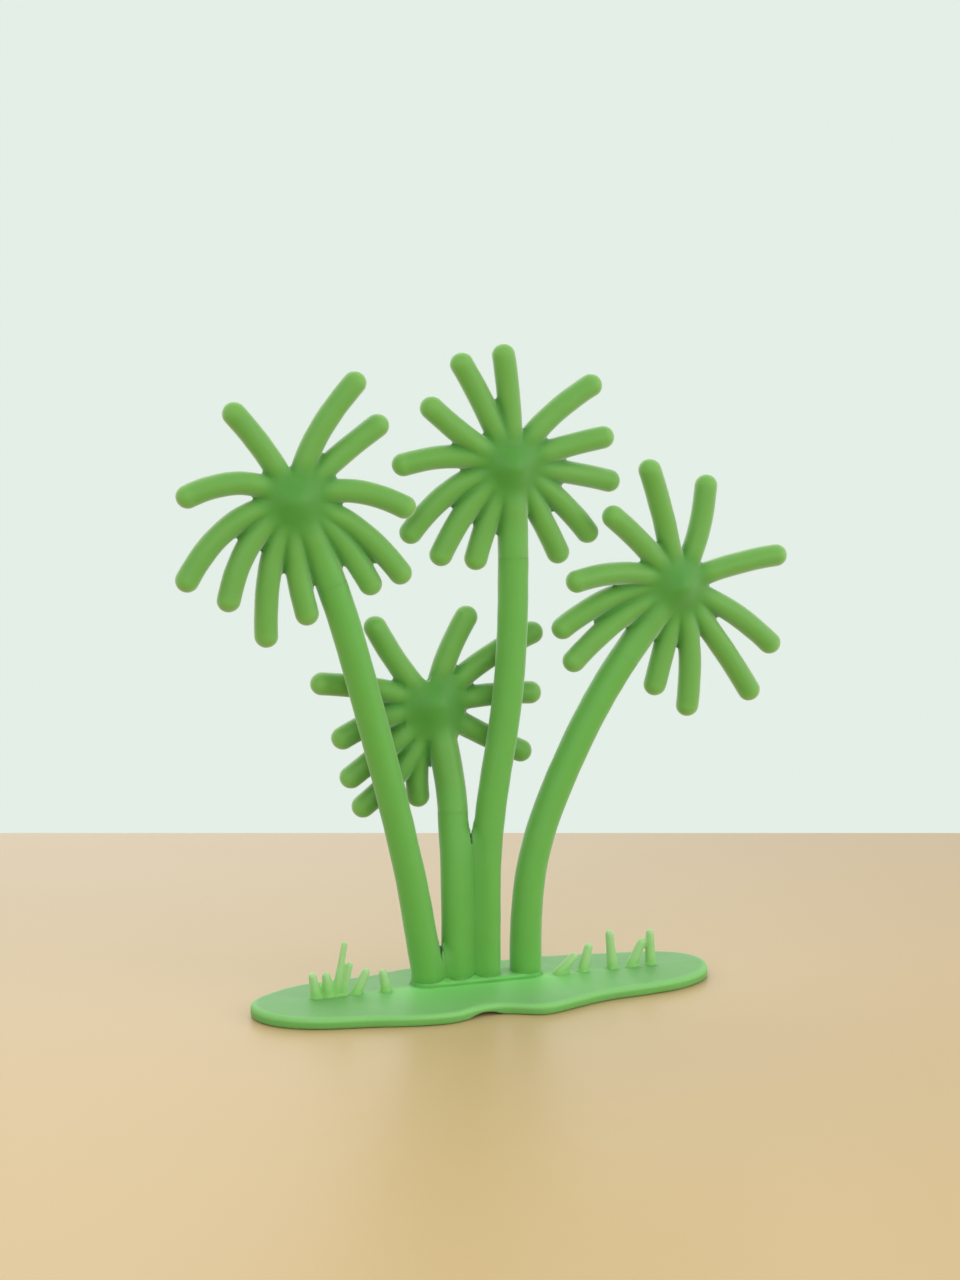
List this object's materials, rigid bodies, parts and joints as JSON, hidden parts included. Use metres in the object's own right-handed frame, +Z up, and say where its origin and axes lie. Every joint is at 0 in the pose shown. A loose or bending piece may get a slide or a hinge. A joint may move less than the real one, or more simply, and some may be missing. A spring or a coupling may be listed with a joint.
{
  "type": "toy palm tree group",
  "caption": "Free-standing toy scenery: curved palm trees with finger-like fronds and grass tufts on one flat, wavy-edged ground plate.",
  "frame": {"origin": "on the flat underside of the ground plate, below the middle of the row of trunks", "axes": "+Z up, +X along the row of trees to the right as seen from the front, and the front faces -Y"},
  "size_m": [0.1241, 0.0333, 0.1265],
  "materials": {
    "plate_green": "satin soft polyethylene, slightly translucent, minty green",
    "trunk_green": "satin soft polyethylene, slightly translucent, leaf green",
    "crown_green": "satin soft polyethylene, slightly translucent, leaf green, paler at the tips",
    "grass_green": "satin soft polyethylene, thin and translucent, pale green"
  },
  "bodies": {
    "root": {"ground_plate": "plate_green", "trunk_left": "trunk_green", "trunk_small": "trunk_green", "trunk_tall": "trunk_green", "trunk_right": "trunk_green", "crown_left": "crown_green", "crown_small": "crown_green", "crown_tall": "crown_green", "crown_right": "crown_green", "grass_tuft_left": "grass_green", "grass_blade_left": "grass_green", "grass_pair_right": "grass_green", "grass_blade_right": "grass_green", "grass_pair_far_right": "grass_green"}
  },
  "joints": []
}
